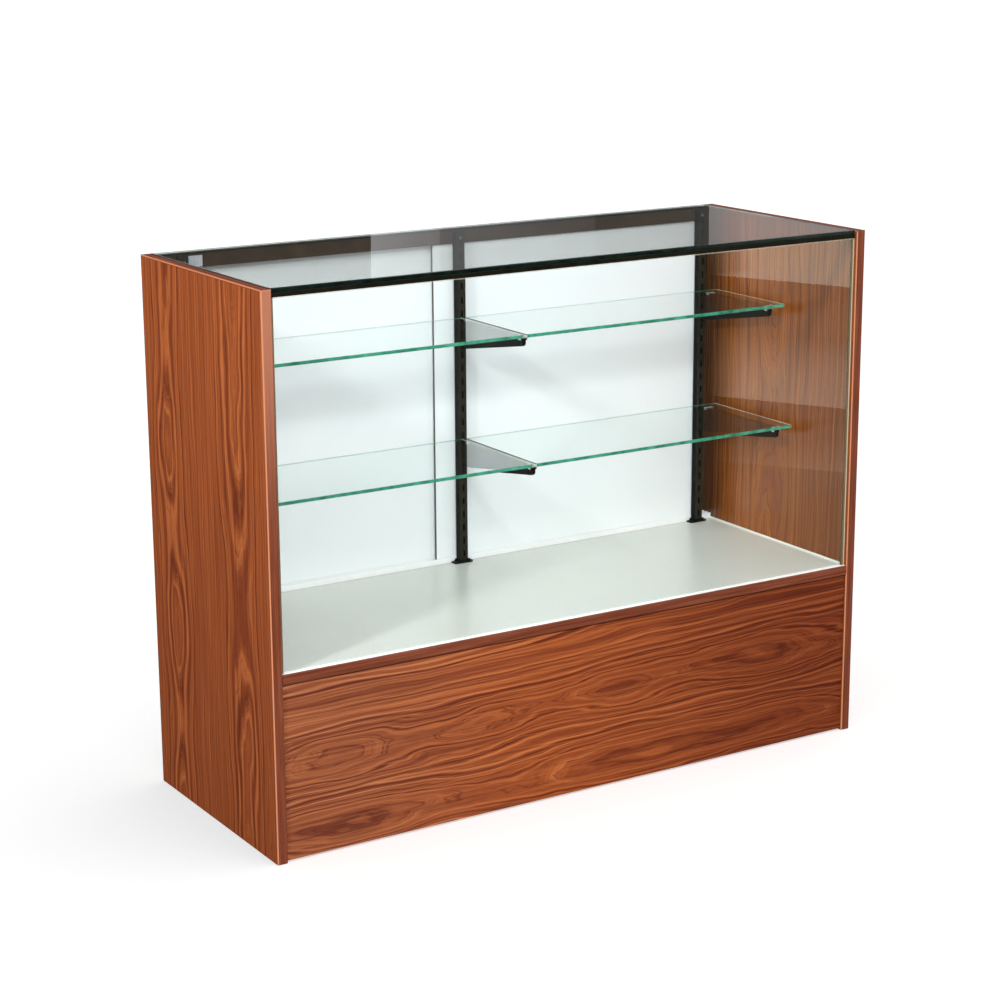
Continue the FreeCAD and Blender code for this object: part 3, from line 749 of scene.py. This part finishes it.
wood_looks()
white_looks()
glass_looks()
soft_looks()
dark_looks()
for name, piece in nodes.items():
    piece.data.materials.clear()
    piece.data.materials.append(looks[name])


# Studio: a large pale floor, glowing cards, a light dome, two soft lamps and the camera
def sheet(name, corners, height, **labels):
    bm = bmesh.new()
    bm.faces.new([bm.verts.new((x, y, height)) for x, y in corners])
    mesh = bpy.data.meshes.new(name)
    bm.to_mesh(mesh)
    bm.free()
    for label, values in labels.items():
        layer = mesh.attributes.new(label, "FLOAT", "POINT")
        for corner, value in zip(layer.data, values):
            corner.value = value
    made = bpy.data.objects.new(name, mesh)
    bpy.context.collection.objects.link(made)
    return made


def floor():
    # Bright to look at, and dark where a pane mirrors it
    half = FLOOR_SIZE / 2
    made = sheet("studio_floor", ((-half, -half), (half, -half), (half, half), (-half, half)), -FLOOR_DROP)
    t = Tree("floor_paper")
    cloud = t.noise(t.place, scale=2.0)
    shade = t.clouds(cloud, (FLOOR_ALBEDO - FLOOR_MOTTLE,) * 3, (FLOOR_ALBEDO,) * 3)
    paper = t.surface(shade, FLOOR_ROUGH, Specular_IOR_Level=FLOOR_GLOSS, Emission_Strength=FLOOR_GLOW)
    dim = t.surface(FLOOR_MIRRORED, FLOOR_ROUGH, Specular_IOR_Level=FLOOR_GLOSS)
    mirrored_ray = t.math("MINIMUM", t.ray("Is Glossy Ray"), t.ray("Glossy Depth"))
    made.data.materials.append(t.done(t.mix(mirrored_ray, paper, dim)))
    return made


def mirrored(point, axis, height):
    # Where a ray from the camera lands at a height, once a pane has mirrored it at the point
    way = Vector(point) - Vector(CAMERA_PLACE)
    way["xyz".index(axis)] *= -1.0
    landing = Vector(point) + way * ((height - point[2]) / way.z)
    return landing.x, landing.y


def card(name, corners, height, glows, tone, fade=None):
    # A sheet that only mirrored rays see
    made = sheet(name, corners, height, glow=glows, across=ACROSS)
    made.visible_camera = False
    made.visible_diffuse = False
    made.visible_transmission = False
    made.visible_shadow = False
    t = Tree(name + "_paper")
    paper = t.node("ShaderNodeEmission")
    paper.inputs["Color"].default_value = (*tone, 1.0)
    strength = t.attribute("glow")
    if fade is not None:
        strength = t.times(strength, t.span(t.attribute("across"), *fade))
    t.link(strength, paper.inputs["Strength"])
    made.data.materials.append(t.done(paper.outputs[0]))


def cards():
    pane_face = reach("front_glass", "y")[0]
    for (name, (tone, glows)), lower, upper in zip(BANDS.items(), BAND_EDGES, BAND_EDGES[1:]):
        shown = (lower[0], lower[1], upper[1], upper[0])
        corners = [mirrored((x, pane_face, z), "y", FLOOR_DROP) for x, z in shown]
        card(name, corners, FLOOR_DROP, glows, tone, FADE)
    top_face = reach("top_glass", "z")[1]
    for name, (shown, glows) in PATCHES.items():
        corners = [mirrored((x, y, top_face), "z", CEILING) for x, y in shown]
        card(name, corners, CEILING, glows, COOL)


def sky():
    # The camera sees an even backdrop; everything else is lit by the lobes
    world = bpy.data.worlds.new("studio")
    bpy.context.scene.world = world
    world.use_nodes = True
    tree = world.node_tree
    tree.nodes.clear()

    def calc(operation, a, b):
        made = tree.nodes.new("ShaderNodeMath")
        made.operation = operation
        for socket, value in zip(made.inputs, (a, b)):
            if isinstance(value, bpy.types.NodeSocket):
                tree.links.new(value, socket)
            else:
                socket.default_value = value
        return made.outputs[0]

    way = tree.nodes.new("ShaderNodeTexCoord").outputs["Generated"]
    light = SKY
    for direction, sharp, power in SKY_LOBES:
        dot = tree.nodes.new("ShaderNodeVectorMath")
        dot.operation = "DOT_PRODUCT"
        tree.links.new(way, dot.inputs[0])
        dot.inputs[1].default_value = Vector(direction).normalized()
        lobe = calc("POWER", calc("MAXIMUM", dot.outputs["Value"], 0.0), sharp)
        light = calc("ADD", calc("MULTIPLY", lobe, power), light)
    strength = tree.nodes.new("ShaderNodeMix")
    strength.data_type = "FLOAT"
    tree.links.new(tree.nodes.new("ShaderNodeLightPath").outputs["Is Camera Ray"], strength.inputs[0])
    tree.links.new(light, strength.inputs[2])
    strength.inputs[3].default_value = BACKDROP
    background = tree.nodes.new("ShaderNodeBackground")
    background.inputs["Color"].default_value = (1.0, 1.0, 1.0, 1.0)
    tree.links.new(strength.outputs[0], background.inputs["Strength"])
    output = tree.nodes.new("ShaderNodeOutputWorld")
    tree.links.new(background.outputs[0], output.inputs["Surface"])


def soft_lamp(name, place, aim, size, power, unlit):
    lamp = bpy.data.lights.new(name, "AREA")
    lamp.shape = "ELLIPSE"
    lamp.size, lamp.size_y = size
    lamp.energy = power
    holder = bpy.data.objects.new(name, lamp)
    holder.location = place
    way = Vector(aim) - Vector(place)
    holder.rotation_euler = way.to_track_quat("-Z", "Y").to_euler()
    holder.visible_camera = False
    holder.light_linking.receiver_collection = unlit
    bpy.context.collection.objects.link(holder)


def lamps(ground):
    # Lamps light the part and leave the floor to the dome
    unlit = bpy.data.collections.new("not_lit_by_lamps")
    unlit.objects.link(ground)
    unlit.collection_objects[0].light_linking.link_state = "EXCLUDE"
    for name, settings in LAMPS.items():
        soft_lamp(name, *settings, unlit)


def camera():
    lens = bpy.data.cameras.new("photo_camera")
    lens.sensor_width = SENSOR
    lens.lens = CAMERA_LENS
    lens.clip_end = CAMERA_FAR
    eye = bpy.data.objects.new("photo_camera", lens)
    eye.location = CAMERA_PLACE
    eye.rotation_euler = [math.radians(angle) for angle in CAMERA_TURN]
    bpy.context.collection.objects.link(eye)
    bpy.context.scene.camera = eye


studio_floor = floor()
sky()
cards()
lamps(studio_floor)
camera()
scene = bpy.context.scene
scene.view_settings.view_transform = "Standard"
scene.cycles.max_bounces = LIGHT_BOUNCES
scene.cycles.transmission_bounces = LIGHT_BOUNCES
scene.cycles.transparent_max_bounces = LIGHT_BOUNCES
